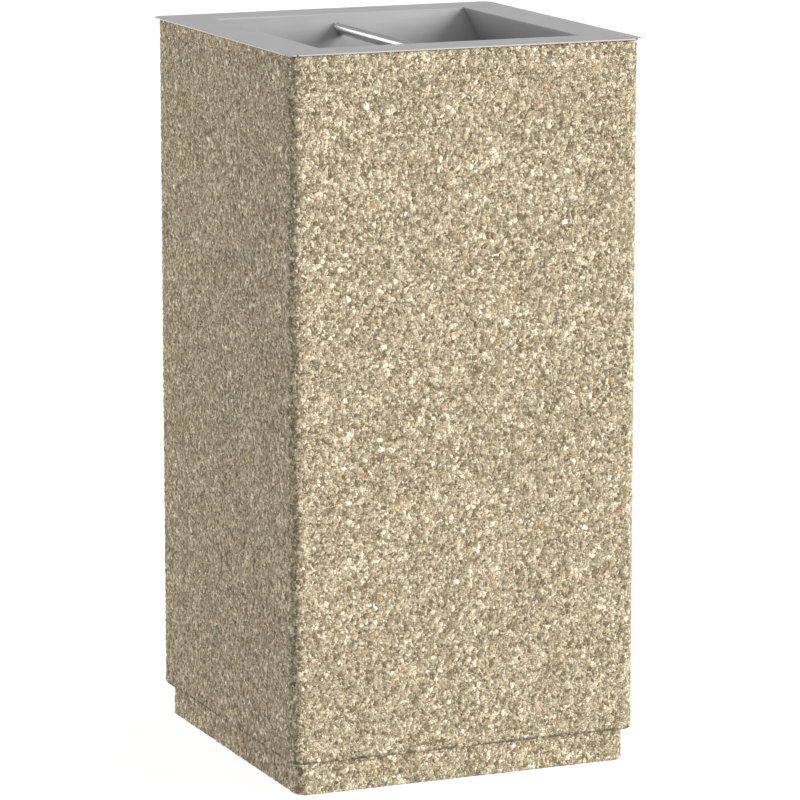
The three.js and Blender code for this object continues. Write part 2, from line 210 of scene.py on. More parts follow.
def ramp(tree, value, stops, interpolation="LINEAR"):
    """A colour ramp from (position, colour) stops."""
    node = add(tree, "ShaderNodeValToRGB", {"Fac": value})
    node.color_ramp.interpolation = interpolation
    elements = node.color_ramp.elements
    while len(elements) < len(stops):
        elements.new(1.0)
    for element, (position, colour) in zip(elements, stops):
        element.position = position
        element.color = (*colour, 1.0)
    return node.outputs["Color"]


def scaled_vector(tree, vector, scale):
    return add(tree, "ShaderNodeVectorMath", {0: vector, 1: scale}, operation="MULTIPLY").outputs[0]


def new_material(name):
    """A material with a lone Principled shader: (material, its tree, the shader, object coordinates)."""
    material = bpy.data.materials.new(name)
    material.use_nodes = True
    tree = material.node_tree
    shader = tree.nodes["Principled BSDF"]
    place = add(tree, "ShaderNodeTexCoord").outputs["Object"]
    return material, tree, shader, place


def wire(tree, shader, colour=None, roughness=None, height=None, bump_distance=0.0005, bump_strength=1.0):
    """Links colour, roughness and bump height to the shader."""
    if colour is not None:
        tree.links.new(colour, shader.inputs["Base Color"])
    if roughness is not None:
        tree.links.new(roughness, shader.inputs["Roughness"])
    if height is not None:
        inputs = {"Height": height, "Distance": bump_distance, "Strength": bump_strength}
        bump = add(tree, "ShaderNodeBump", inputs)
        tree.links.new(bump.outputs["Normal"], shader.inputs["Normal"])


# ---- Gravel, which the relief and the colour share ----

LARGE_STONE = 5.0 * MM
SMALL_STONE = 2.6 * MM
LARGE_SHARE = 0.50
STONE_WARP = 3.0 * MM
FLECK = 1.5 * MM


def stones(tree, place, size):
    """One layer of packed stones: (three random numbers of each stone, rise from its edge to its middle)."""
    cell = cells(tree, place, 1 / size)
    edge = cells(tree, place, 1 / size, "DISTANCE_TO_EDGE")
    splitter = "ShaderNodeSeparateColor" if tree.type == "SHADER" else "FunctionNodeSeparateColor"
    random = add(tree, splitter, {0: cell.outputs["Color"]})
    rise = remap(tree, edge.outputs["Distance"], 0.0, 0.34, interpolation="LINEAR")
    dome = maths(tree, "MULTIPLY", rise, maths(tree, "SUBTRACT", 2.0, rise))
    return random.outputs, dome


def gravel(tree, place):
    """Packed stones of two sizes: (height from 0 to 1, number that picks the colour, number for the tone)."""
    warp = noise(tree, place, 230.0, 3.0).outputs["Color"]
    shift = add(tree, "ShaderNodeVectorMath", {0: warp, 1: (0.5, 0.5, 0.5)}, operation="SUBTRACT").outputs[0]
    inputs = {0: shift, 1: (STONE_WARP,) * 3, 2: place}
    warped = add(tree, "ShaderNodeVectorMath", inputs, operation="MULTIPLY_ADD").outputs[0]
    large, large_dome = stones(tree, warped, LARGE_STONE)
    small, small_dome = stones(tree, warped, SMALL_STONE)
    present = maths(tree, "GREATER_THAN", large[0], 1 - LARGE_SHARE)
    large_level = maths(tree, "MULTIPLY", present, remap(tree, large[1], 0, 1, 0.70, 1.0, "LINEAR"))
    small_level = remap(tree, small[1], 0, 1, 0.35, 0.90, "LINEAR")
    large_height = maths(tree, "MULTIPLY", large_dome, large_level)
    small_height = maths(tree, "MULTIPLY", small_dome, small_level)
    height = maths(tree, "MAXIMUM", large_height, small_height)
    on_large = maths(tree, "GREATER_THAN", large_height, small_height)

    def chosen(channel):
        gain = maths(tree, "SUBTRACT", large[channel], small[channel])
        return maths(tree, "MULTIPLY_ADD", gain, on_large, small[channel])

    return height, chosen(2), chosen(1)


STONE_COLOURS = [
    (0.00, (0.150, 0.117, 0.064)),
    (0.10, (0.225, 0.183, 0.110)),
    (0.27, (0.300, 0.250, 0.160)),
    (0.46, (0.370, 0.312, 0.207)),
    (0.66, (0.450, 0.385, 0.265)),
    (0.82, (0.560, 0.487, 0.353)),
    (0.925, (0.660, 0.600, 0.470)),
    (0.950, (0.450, 0.345, 0.240)),
    (0.970, (0.330, 0.225, 0.135)),
    (0.986, (0.190, 0.170, 0.120)),
]
GAP_COLOUR = (0.100, 0.078, 0.042, 1.0)
RUST_STAIN = (1.0, 0.80, 0.58, 1.0)
# Painted shade: a dark broken line that stands in for the overhang's shadow at the top of the plinth
CREASE_PAINTED_SHADE = (0.045, 0.038, 0.024, 1.0)
CREASE_HEIGHT = PLINTH_HEIGHT + 1 * MM


def stone_colour(tree, place, pick, tone, grain):
    """The colour of each stone, with its own tone and hue, flecked and grained."""
    fleck = cells(tree, place, 1 / FLECK).outputs["Color"]
    grain_shade = remap(tree, grain, 0.3, 0.7, -0.34, 0.34)
    fleck_shade = remap(tree, fleck, 0, 1, -0.42, 0.42, "LINEAR")
    fine = maths(tree, "ADD", grain_shade, fleck_shade)
    value = maths(tree, "ADD", fine, remap(tree, tone, 0, 1, 0.90, 1.14, "LINEAR"))
    spread = maths(tree, "FRACT", maths(tree, "MULTIPLY", tone, 7.0))
    hue = remap(tree, spread, 0, 1, 0.491, 0.507, "LINEAR")
    return shaded(tree, ramp(tree, pick, STONE_COLOURS, "CONSTANT"), value, hue)


def plinth_painted_shade(tree, place, tone):
    """How much painted shade darkens the broken line under the overhang, at the top of the plinth, standing
    in for the overhang's shadow.
    """
    level = add(tree, "ShaderNodeSeparateXYZ", {0: place}).outputs["Z"]
    distance = maths(tree, "ABSOLUTE", maths(tree, "SUBTRACT", level, CREASE_HEIGHT))
    ragged = maths(tree, "MULTIPLY_ADD", tone, 0.8 * MM, distance)
    line = remap(tree, ragged, 1.6 * MM, 3.4 * MM, 0.75, 0.0)
    broken = remap(tree, noise(tree, place, 90.0, 2.0).outputs["Fac"], 0.42, 0.58, 0.35, 1.0)
    return maths(tree, "MULTIPLY", line, broken)


def gravel_material():
    """Stones with dark gaps between them, faint rust stains, and a painted shade line under the overhang at
    the plinth.
    """
    material, tree, shader, place = new_material("exposed_gravel")
    height, pick, tone = gravel(tree, place)
    grain = noise(tree, place, 700.0, 5.0, 0.8).outputs["Fac"]
    stone = stone_colour(tree, place, pick, tone, grain)
    gap = remap(tree, height, 0.02, 0.24, 1.0, 0.0)
    open_gap = remap(tree, noise(tree, place, 190.0, 2.0).outputs["Fac"], 0.42, 0.60, 0.35, 1.0)
    gapped = blended(tree, maths(tree, "MULTIPLY", gap, open_gap), stone, GAP_COLOUR)
    rust = remap(tree, noise(tree, place, 65.0, 3.0).outputs["Fac"], 0.60, 0.72, 0.0, 0.45)
    stained = blended(tree, rust, gapped, RUST_STAIN, "MULTIPLY")
    patch = remap(tree, noise(tree, place, 14.0, 3.0).outputs["Fac"], 0.3, 0.7, 0.97, 1.07)
    weathered = shaded(tree, stained, patch)
    # Painted shade under the overhang, blended over the stones at the top of the plinth
    crease_shaded_colour = blended(tree, plinth_painted_shade(tree, place, tone), weathered, CREASE_PAINTED_SHADE)
    rough = remap(tree, grain, 0.25, 0.75, 0.6, 0.95)
    relief = maths(tree, "MULTIPLY_ADD", grain, 0.6, height)
    wire(tree, shader, crease_shaded_colour, rough, relief, 1.1 * MM, 1.0)
    shader.inputs["Specular IOR Level"].default_value = 0.22
    return material


def cast_concrete_material():
    """Plain concrete against the mould: the inside, the rim and the underside."""
    material, tree, shader, place = new_material("cast_concrete")
    broad = noise(tree, place, 9.0, 6.0, 0.6).outputs["Fac"]
    fine = noise(tree, place, 420.0, 4.0, 0.7).outputs["Fac"]
    pores = cells(tree, place, 130.0).outputs["Distance"]
    base = ramp(tree, broad, [(0.3, (0.36, 0.335, 0.29)), (0.7, (0.50, 0.475, 0.42))])
    specked = blended(tree, remap(tree, fine, 0.35, 0.7), base, (0.44, 0.41, 0.35, 1.0))
    pore = remap(tree, pores, 0.10, 0.16, 1.0, 0.0)
    colour = blended(tree, pore, specked, (0.17, 0.155, 0.13, 1.0))
    level = maths(tree, "SUBTRACT", maths(tree, "MULTIPLY", fine, 0.35), pore)
    wire(tree, shader, colour, remap(tree, fine, 0.3, 0.7, 0.78, 0.95), level, 0.5 * MM, 0.8)
    return material


# ---- Metals and plastics ----

SPANGLE = 9 * MM
SPANGLE_WARP = 6 * MM


def steel_material(name, colour, metallic, rough_low, rough_high, grain_stretch, grain_bump, depth_darkening=None):
    """Steel with a fine grain along the axis that grain_stretch scales least.

    depth_darkening is a pair of heights: the steel keeps its colour above the first and is darkest below the
    second, so it gets darker towards the bottom.
    """
    material, tree, shader, place = new_material(name)
    grain = noise(tree, scaled_vector(tree, place, grain_stretch), 1.0, 3.0, 0.6).outputs["Fac"]
    cloud = noise(tree, place, 22.0, 3.0).outputs["Fac"]
    grain_shade = remap(tree, grain, 0.3, 0.7, 0.965, 1.035)
    shade = maths(tree, "ADD", grain_shade, remap(tree, cloud, 0.3, 0.7, -0.02, 0.02))
    # Darker towards the bottom: the colour's value falls between the two heights, along a wavy line
    if depth_darkening:
        unchanged_height, darkest_height = depth_darkening
        height = add(tree, "ShaderNodeSeparateXYZ", {0: place}).outputs["Z"]
        drifted_height = maths(tree, "MULTIPLY_ADD", cloud, DARKENING_DRIFT, height)
        darkening = remap(tree, drifted_height, darkest_height, unchanged_height, DARKEST_VALUE, 1.0, "LINEAR")
        shade = maths(tree, "MULTIPLY", shade, darkening)
    grain_rough = remap(tree, grain, 0.25, 0.75, rough_low, rough_high)
    rough = maths(tree, "ADD", grain_rough, remap(tree, cloud, 0.3, 0.7, -0.03, 0.03))
    wire(tree, shader, shaded(tree, (*colour, 1.0), shade), rough, grain, 0.02 * MM, grain_bump)
    shader.inputs["Metallic"].default_value = metallic
    return material


def galvanised_material():
    """Hot-dipped zinc: large flat crystals that each catch the light in their own way."""
    material, tree, shader, place = new_material("galvanised_steel")
    warp = noise(tree, place, 60.0, 3.0).outputs["Color"]
    inputs = {0: warp, 1: (SPANGLE_WARP,) * 3, 2: place}
    warped = add(tree, "ShaderNodeVectorMath", inputs, operation="MULTIPLY_ADD").outputs[0]
    crystal = cells(tree, warped, 1 / SPANGLE).outputs["Color"]
    lightness, gloss, tilt = add(tree, "ShaderNodeSeparateColor", {0: crystal}).outputs
    frost = noise(tree, place, 900.0, 4.0, 0.7).outputs["Fac"]
    dull = remap(tree, noise(tree, place, 12.0, 4.0).outputs["Fac"], 0.35, 0.7)
    crystal_shade = remap(tree, lightness, 0, 1, 0.82, 1.12, "LINEAR")
    shade = maths(tree, "ADD", crystal_shade, remap(tree, frost, 0.3, 0.7, -0.06, 0.06))
    zinc = shaded(tree, (0.40, 0.42, 0.44, 1.0), shade)
    colour = blended(tree, maths(tree, "MULTIPLY", dull, 0.45), zinc, (0.36, 0.37, 0.37, 1.0))
    crystal_rough = remap(tree, gloss, 0, 1, 0.44, 0.58, "LINEAR")
    rough = maths(tree, "ADD", crystal_rough, maths(tree, "MULTIPLY", dull, 0.12))
    height = maths(tree, "MULTIPLY_ADD", frost, 0.3, tilt)
    wire(tree, shader, colour, rough, height, 0.04 * MM, 0.4)
    shader.inputs["Metallic"].default_value = 0.75
    return material


def zinc_plate_material():
    """Bright zinc plating with a faint passivated tint that drifts from straw to blue."""
    material, tree, shader, place = new_material("zinc_plate")
    drift = noise(tree, place, 70.0, 2.0).outputs["Fac"]
    straw, clear, blue = (0.60, 0.57, 0.48), (0.62, 0.61, 0.58), (0.54, 0.57, 0.61)
    tint = ramp(tree, drift, [(0.35, straw), (0.52, clear), (0.68, blue)])
    frost = noise(tree, place, 1500.0, 4.0, 0.7).outputs["Fac"]
    wire(tree, shader, tint, remap(tree, frost, 0.3, 0.7, 0.26, 0.42), frost, 0.02 * MM, 0.3)
    shader.inputs["Metallic"].default_value = 0.9
    return material


def plastic_material(name, dark, pale):
    """Moulded plastic with a fine spark-eroded texture and paler scuffs."""
    material, tree, shader, place = new_material(name)
    texture = noise(tree, place, 1300.0, 3.0, 0.6).outputs["Fac"]
    scratches = noise(tree, scaled_vector(tree, place, (60.0, 260.0, 60.0)), 1.0, 5.0, 0.7).outputs["Fac"]
    scuff = remap(tree, scratches, 0.52, 0.70)
    colour = blended(tree, maths(tree, "MULTIPLY", scuff, 0.5), (*dark, 1.0), (*pale, 1.0))
    texture_rough = remap(tree, texture, 0.3, 0.7, 0.46, 0.60)
    rough = maths(tree, "ADD", texture_rough, maths(tree, "MULTIPLY", scuff, 0.12))
    wire(tree, shader, colour, rough, texture, 0.06 * MM, 0.6)
    return material


# ---- Mesh helpers ----

def rounded_loop(half_x, half_y, radius, straight_steps=1, arc_steps=8):
    """Points anticlockwise round a rectangle with rounded corners, as an N x 2 array."""
    corners = []
    for quarter, (side_x, side_y) in enumerate(((1, 1), (-1, 1), (-1, -1), (1, -1))):
        centre = Vector((side_x * (half_x - radius), side_y * (half_y - radius)))
        angles = [(quarter + step / arc_steps) * math.pi / 2 for step in range(arc_steps + 1)]
        corners.append([centre + radius * Vector((math.cos(angle), math.sin(angle))) for angle in angles])
    points = []
    for corner, following in zip(corners, corners[1:] + corners[:1]):
        points += corner
        points += [corner[-1].lerp(following[0], step / straight_steps) for step in range(1, straight_steps)]
    return np.array(points)


def outward_directions(loop):
    """Unit normals of a closed anticlockwise loop in its plane."""
    along = np.roll(loop, -1, axis=0) - np.roll(loop, 1, axis=0)
    normals = np.stack([along[:, 1], -along[:, 0]], axis=1)
    return normals / np.linalg.norm(normals, axis=1, keepdims=True)


def as_object(name, mesh, *materials):
    piece = bpy.data.objects.new(name, mesh)
    bpy.context.scene.collection.objects.link(piece)
    for material in materials:
        mesh.materials.append(material)
    return piece


def add_ring(bm, loop, height):
    """Vertices for a loop of x, y points at one height."""
    return [bm.verts.new((x, y, height)) for x, y in loop]


def bridge(bm, lower, upper, **face_settings):
    """Faces between two rings of the same length, facing outwards where upper is above lower."""
    count = len(lower)
    for index in range(count):
        after = (index + 1) % count
        face = bm.faces.new((lower[index], lower[after], upper[after], upper[index]))
        for name, value in face_settings.items():
            setattr(face, name, value)


def fill_between(bm, rings, material_index=0, facing=1.0):
    """A flat face, made of triangles, bounded by rings that lie at one height."""
    edges = []
    for ring in rings:
        for first, second in zip(ring, ring[1:] + ring[:1]):
            edges.append(bm.edges.get((first, second)) or bm.edges.new((first, second)))
    made = bmesh.ops.triangle_fill(bm, use_beauty=True, edges=edges, normal=(0, 0, facing))
    for face in made["geom"]:
        if isinstance(face, bmesh.types.BMFace):
            face.material_index = material_index
            face.smooth = False
            if face.normal.z * facing < 0:
                face.normal_flip()


def circle(x, y, radius, steps):
    angles = [2 * math.pi * step / steps for step in range(steps)]
    return [(x + radius * math.cos(angle), y + radius * math.sin(angle)) for angle in angles]


def finished(name, bm, *materials, crease=35):
    """The object for a bmesh, shaded smooth apart from the edges sharper than crease degrees."""
    mesh = bpy.data.meshes.new(name)
    bm.to_mesh(mesh)
    bm.free()
    mesh.polygons.foreach_set("use_smooth", [True] * len(mesh.polygons))
    mesh.set_sharp_from_angle(angle=math.radians(crease))
    return as_object(name, mesh, *materials)


def install(piece, *nodes):
    """Puts a finished piece in place of CAD nodes, on their body."""
    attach(piece, BODY_OF[nodes[0]])
    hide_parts(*nodes)


def eased(node, width, material):
    """The shape of a CAD node with its sharp edges rounded off, in place of the node."""
    bm = bmesh.new()
    bm.from_mesh(frame["nodes"][node].data)
    bmesh.ops.remove_doubles(bm, verts=bm.verts, dist=CAD_MERGE_DISTANCE)
    bmesh.ops.dissolve_limit(bm, angle_limit=FLAT_ANGLE, verts=bm.verts, edges=bm.edges)
    sharp = [edge for edge in bm.edges if edge.calc_face_angle(0.0) > SHARP_ANGLE]
    bmesh.ops.bevel(bm, geom=sharp, offset=width, segments=2, profile=0.5, affect="EDGES", clamp_overlap=True)
    install(finished(node + "_eased", bm, material), node)


def turned(name, profile, place, material, closed=False, steps=48):
    """A profile of (radius, height) points turned about the Z axis, then moved by the matrix place."""
    bm = bmesh.new()
    rings = [add_ring(bm, circle(0, 0, radius, steps), height) for radius, height in profile]
    followers = rings[1:] + rings[:1] if closed else rings[1:]
    for ring, following in zip(rings, followers):
        bridge(bm, ring, following)
    bmesh.ops.remove_doubles(bm, verts=bm.verts, dist=MERGE_DISTANCE)
    bmesh.ops.recalc_face_normals(bm, faces=bm.faces)
    bm.transform(place)
    return finished(name, bm, material)


def swept_square(name, profile, half, corner, material, arc_steps=12):
    """A closed profile of (half width, height) points swept round a square that has its corners rounded."""
    bm = bmesh.new()
    rings = []
    for reach, height in profile:
        rings.append(add_ring(bm, rounded_loop(reach, reach, corner + reach - half, 1, arc_steps), height))
    for ring, following in zip(rings, rings[1:] + rings[:1]):
        bridge(bm, ring, following)
    return finished(name, bm, material)


# ---- Concrete body ----

GRAVEL_SLOT, CAST_SLOT = range(2)


def outer_profile(half, top):
    """(half width, height) of each ring of the gravelled outside, from the ground up."""
    plinth_half = half - PLINTH_INSET
    plinth_rows = round((PLINTH_HEIGHT - ARRIS) / GRAVEL_SPACING)
    shaft_rows = round((top - PLINTH_HEIGHT - ARRIS) / GRAVEL_SPACING)
    profile = [(plinth_half - ARRIS, 0.0)]
    profile += [(plinth_half, height) for height in np.linspace(ARRIS, PLINTH_HEIGHT, plinth_rows + 1)]
    profile += [(half - ARRIS - PLINTH_INSET / 2, PLINTH_HEIGHT), (half - ARRIS, PLINTH_HEIGHT)]
    profile += [(half, height) for height in np.linspace(PLINTH_HEIGHT + ARRIS, top, shaft_rows + 1)]
    return profile


def add_gravelled_skin(bm, outward, half, top):
    """The outside of the casting as a fine grid. Returns its bottom ring and its top ring."""
    straight_steps = round(2 * (half - EDGE_RADIUS) / GRAVEL_SPACING)
    arc_steps = round(math.pi / 2 * EDGE_RADIUS / GRAVEL_SPACING)
    rings = []
    for ring_half, height in outer_profile(half, top):
        loop = rounded_loop(ring_half, ring_half, EDGE_RADIUS, straight_steps, arc_steps)
        ring = add_ring(bm, loop, height)
        for vert, (x, y) in zip(ring, outward_directions(loop)):
            vert[outward] = (x, y, 0.0)
        if rings:
            bridge(bm, rings[-1], ring, smooth=True, material_index=GRAVEL_SLOT)
        rings.append(ring)
    return rings[0], rings[-1]


def add_hole(bm, x, y, radius, low, high):
    """The wall of an upright hole. Returns its low ring and its high ring."""
    lower = add_ring(bm, circle(x, y, radius, 32), low)
    upper = add_ring(bm, circle(x, y, radius, 32), high)
    bridge(bm, upper, lower, smooth=True, material_index=CAST_SLOT)
    return lower, upper


def add_cavity(bm, half, top):
    """The core's walls. Returns the ring at the floor and the ring at the mouth."""
    loops = [
        (half - WALL - CORE_DRAFT, FLOOR),
        (half - WALL, top),
    ]
    rings = [add_ring(bm, rounded_loop(wall, wall, CORE_RADIUS), height) for wall, height in loops]
    bridge(bm, rings[1], rings[0], smooth=False, material_index=CAST_SLOT)
    return rings


def gravel_relief():
    """Geometry nodes that push the outside out and in by the height of the gravel."""
    group = bpy.data.node_groups.new("gravel_relief", "GeometryNodeTree")
    group.interface.new_socket("Geometry", in_out="INPUT", socket_type="NodeSocketGeometry")
    group.interface.new_socket("Geometry", in_out="OUTPUT", socket_type="NodeSocketGeometry")
    place = add(group, "GeometryNodeInputPosition").outputs[0]
    height = gravel(group, place)[0]
    raised = maths(group, "MULTIPLY", maths(group, "SUBTRACT", height, GRAVEL_LEVEL), GRAVEL_RELIEF)
    attribute = add(group, "GeometryNodeInputNamedAttribute", {0: "outward"}, data_type="FLOAT_VECTOR")
    inputs = {0: attribute.outputs[0], "Scale": raised}
    offset = add(group, "ShaderNodeVectorMath", inputs, operation="SCALE").outputs[0]
    start = add(group, "NodeGroupInput").outputs[0]
    moved = add(group, "GeometryNodeSetPosition", {"Geometry": start, "Offset": offset}).outputs[0]
    add(group, "NodeGroupOutput", {0: moved})
    return group


def apply_modifiers(piece):
    """Gives the piece the mesh that its modifiers make, and removes them."""
    depsgraph = bpy.context.evaluated_depsgraph_get()
    made = bpy.data.meshes.new_from_object(piece.evaluated_get(depsgraph), depsgraph=depsgraph)
    piece.modifiers.clear()
    piece.data = made


def concrete_casting():
    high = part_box("concrete_body")[1]
    half, top = high.x, high.z
    bm = bmesh.new()
    outward = bm.verts.layers.float_vector.new("outward")
    bottom_ring, top_ring = add_gravelled_skin(bm, outward, half, top)
    floor_ring, mouth_ring = add_cavity(bm, half, top)
    holes = [add_hole(bm, 0, 0, DRAIN_RADIUS, 0, FLOOR)]
    holes += [add_hole(bm, side * ANCHOR_OFFSET, 0, ANCHOR_RADIUS, 0, FLOOR) for side in (-1, 1)]
    pockets = [
        add_hole(bm, x * SOCKET_OFFSET, y * SOCKET_OFFSET, SOCKET_RADIUS, top - SOCKET_DEPTH, top)
        for x in (-1, 1) for y in (-1, 1)
    ]
    for lower, _ in pockets:
        bm.faces.new(lower).material_index = CAST_SLOT
    fill_between(bm, [bottom_ring] + [lower for lower, _ in holes], CAST_SLOT, -1.0)
    fill_between(bm, [floor_ring] + [upper for _, upper in holes], CAST_SLOT)
    fill_between(bm, [top_ring, mouth_ring] + [upper for _, upper in pockets], CAST_SLOT)
    mesh = bpy.data.meshes.new("concrete_casting")
    bm.to_mesh(mesh)
    bm.free()
    casting = as_object("concrete_casting", mesh, gravel_material(), cast_concrete_material())
    casting.modifiers.new("relief", "NODES").node_group = gravel_relief()
    apply_modifiers(casting)
    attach(casting, "housing")
    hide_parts("concrete_body")


# ---- Steel top ----

FLAT_SIDE, HOPPER_SIDE, EDGE_SIDE, CORNER_SIDE = range(4)


def rim_plate(satin, edge, hopper, painted_corner_shade):
    """The flat plate round the opening. Its inner edge is flush with the hopper's slopes and ends."""
    low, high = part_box("top_plate")
    hopper_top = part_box("hopper_slope_back")[1].z
    outer = high.x
    ease = PLATE_EASE
    inner = OPENING_HALF
    over_slope = inner + (high.z - hopper_top) / SLOPE
    profile = [
        (inner, inner, INNER_CORNER, hopper_top),
        (inner + SHEET, inner + SHEET, INNER_CORNER, hopper_top),
        (inner + SHEET, inner + SHEET, INNER_CORNER, low.z),
        (outer - ease, outer - ease, PLATE_CORNER - ease, low.z),
        (outer, outer, PLATE_CORNER, low.z + ease),
        (outer, outer, PLATE_CORNER, high.z - ease),
        (outer - ease, outer - ease, PLATE_CORNER - ease, high.z),
        (inner, over_slope, INNER_CORNER, high.z),
    ]
    bm = bmesh.new()
    rings = [add_ring(bm, rounded_loop(x, y, radius), height) for x, y, radius, height in profile]
    bridge(bm, rings[-1], rings[0], material_index=HOPPER_SIDE)
    for ring, following in zip(rings, rings[1:]):
        bridge(bm, ring, following, material_index=FLAT_SIDE)
    bm.normal_update()
    for face in bm.faces:
        middle = face.calc_center_median()
        if max(abs(middle.x), abs(middle.y)) > outer - ease and abs(face.normal.z) < 0.9:
            # The plate's edge faces at its corners get painted shade: a near-black steel standing in for the
            # shadow there
            on_corner = min(abs(middle.x), abs(middle.y)) > outer - PLATE_CORNER
            face.material_index = CORNER_SIDE if on_corner else EDGE_SIDE
    install(finished("rim_plate", bm, satin, hopper, edge, painted_corner_shade, crease=20), "top_plate")


def stub_out_bar(polished):
    """The round bar, mitred at both ends to the angle of the slopes."""
    low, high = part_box("stub_out_bar")
    radius = (high.x - low.x) / 2
    centre = (low + high) / 2
    reach = high.y - radius / SLOPE
    bm = bmesh.new()
    ends = []
    for side in (-1, 1):
        section = circle(centre.x, centre.z, radius, 64)
        ends.append([bm.verts.new((x, side * (reach + (z - centre.z) / SLOPE), z)) for x, z in section])
        bm.faces.new(ends[-1])
    bridge(bm, ends[0], ends[1])
    bmesh.ops.recalc_face_normals(bm, faces=bm.faces)
    install(finished("polished_bar", bm, polished, crease=20), "stub_out_bar")


def straight_route(start, end):
    """Points for a weld along a line, evenly spaced."""
    start, end = Vector(start), Vector(end)
    count = round((end - start).length / WELD_PITCH * WELD_STEPS)
    return [start.lerp(end, step / count) for step in range(count + 1)]


def bar_end_route(side):
    """Points round one mitred end of the bar, where it meets the slope, back to the start."""
    low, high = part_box("stub_out_bar")
    radius = (high.x - low.x) / 2
    centre = (low + high) / 2
    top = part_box("hopper_slope_back")[1].z
    ring = circle(centre.x, centre.z, radius, 24 * WELD_STEPS)
    return [Vector((x, side * (OPENING_HALF - (top - z) / SLOPE), z)) for x, z in ring + ring[:1]]


def add_weld(bm, route, across):
    """A bead along a route, ribbed like overlapping drops. The route never runs in the direction across."""
    rings = []
    for index, point in enumerate(route):
        ahead = route[min(index + 1, len(route) - 1)]
        behind = route[max(index - 1, 0)]
        along = (ahead - behind).normalized()
        side = along.cross(across).normalized()
        up = side.cross(along)
        radius = WELD_RADIUS * (1.0 - WELD_DROP * (index % WELD_STEPS) / WELD_STEPS)
        rings.append([bm.verts.new(point + side * x + up * y) for x, y in circle(0, 0, radius, 10)])
    for ring, following in zip(rings, rings[1:]):
        bridge(bm, ring, following)
    bm.faces.new(rings[0])
    bm.faces.new(rings[-1])


def hopper_welds(material):
    """The beads that join the hopper's sheets and hold the bar."""
    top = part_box("hopper_slope_back")[1].z
    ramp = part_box("slot_ramp_right")[1]
    slot_top = top - SLOPE * (OPENING_HALF - SLOT_HALF_WIDTH)
    ramp_reach = SLOT_HALF_WIDTH + (ramp.z - slot_top) / SLOPE
    upward = Vector((0, 0, 1))
    bm = bmesh.new()
    for side in (-1, 1):
        for depth in (-1, 1):
            rim = (side * OPENING_HALF, depth * OPENING_HALF, top)
            corner = (side * ramp.x, depth * ramp_reach, ramp.z)
            foot = (side * SLOT_HALF_LENGTH, depth * SLOT_HALF_WIDTH, slot_top)
            add_weld(bm, straight_route(rim, corner), upward)
            add_weld(bm, straight_route(corner, foot), upward)
        ramp_ends = [(side * ramp.x, depth * ramp_reach, ramp.z) for depth in (-1, 1)]
        add_weld(bm, straight_route(*ramp_ends), upward)
        add_weld(bm, bar_end_route(side), Vector((0, 1, 0)))
    bmesh.ops.recalc_face_normals(bm, faces=bm.faces)
    beads = finished("hopper_welds", bm, material, crease=60)
    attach(beads, "ash_top")


def steel_top():
    hopper_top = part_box("hopper_slope_back")[1].z
    # The hopper and its welds get darker towards the bottom, below the hopper's top
    depth_darkening = (hopper_top, hopper_top - DARKENING_DEPTH)
    brushed = (30.0, 900.0, 900.0)
    sawn = (900.0, 900.0, 200.0)
    drawn = (900.0, 20.0, 900.0)
    even = (400.0, 400.0, 400.0)
    satin = steel_material("satin_steel", (0.50,) * 3, 0.1, 0.62, 0.74, brushed, 0.25)
    hopper = steel_material("hopper_steel", (0.40,) * 3, 0.1, 0.42, 0.55, brushed, 0.25, depth_darkening)
    edge = steel_material("cut_edge", (0.37,) * 3, 0.1, 0.5, 0.7, sawn, 0.3)
    # Painted shade: near-black steel for the plate's corner edges, where the shadow falls
    painted_corner_shade = steel_material("painted_corner_shade_edge", (0.06,) * 3, 0.3, 0.5, 0.7, sawn, 0.3)
    weld = steel_material("weld_bead", (0.30,) * 3, 0.2, 0.40, 0.55, even, 0.3, depth_darkening)
    polished = steel_material("polished_steel", (0.62,) * 3, 1.0, 0.25, 0.30, drawn, 0.04)
    rim_plate(satin, edge, hopper, painted_corner_shade)
    stub_out_bar(polished)
    hopper_welds(weld)
    for node in frame["record"]["behaviour"]["bodies"]["ash_top"]:
        if node.startswith(("hopper_", "slot_")):
            eased(node, SHEET_EASE, hopper)
        elif node.startswith("locating_"):
            eased(node, TAB_EASE, edge)


# ---- Ash bucket ----

def cut_holes(piece, places, reach):
    """Cuts round holes along X through both sides of a piece. places are (radius, y, z)."""
    bm = bmesh.new()
    for radius, y, z in places:
        turn = Matrix.Translation((0, y, z)) @ Matrix.Rotation(math.pi / 2, 4, "Y")
        bmesh.ops.create_cone(
            bm, cap_ends=True, segments=32, radius1=radius, radius2=radius, depth=2 * reach, matrix=turn)
    cutter = finished("cutter", bm)
    boolean = piece.modifiers.new("holes", "BOOLEAN")
    boolean.operation = "DIFFERENCE"
    boolean.object = cutter
    apply_modifiers(piece)
    bpy.data.objects.remove(cutter)


def bucket_walls(galvanised):
    """The folded wall with two pressed-in grooves that stiffen it."""
    low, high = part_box("bucket_shell")
    half = high.x
    heights = [low.z]
    for middle in GROOVE_HEIGHTS:
        heights += [middle + step * GROOVE_HALF / 3 for step in range(-7, 8)]
    heights.append(high.z)

    def wall_half(height):
        depths = [math.exp(-((height - middle) / GROOVE_HALF) ** 2) for middle in GROOVE_HEIGHTS]
        return half - GROOVE_DEPTH * sum(depths)

    outside = [(wall_half(height), height) for height in heights]
    inside = [(wall_half(height) - BUCKET_SHEET, height) for height in reversed(heights)]
    walls = swept_square("bucket_walls", outside + inside, half, BUCKET_CORNER, galvanised)
    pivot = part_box("bucket_rim")[1].z - PIVOT_BELOW_RIM
    holes = [(PIN_HOLE, 0, pivot)] + [(RIVET_HOLE, y, pivot) for y in (-RIVET_REACH, RIVET_REACH)]
    cut_holes(walls, holes, 2 * half)
    walls.data.set_sharp_from_angle(angle=math.radians(35))
    install(walls, "bucket_shell")


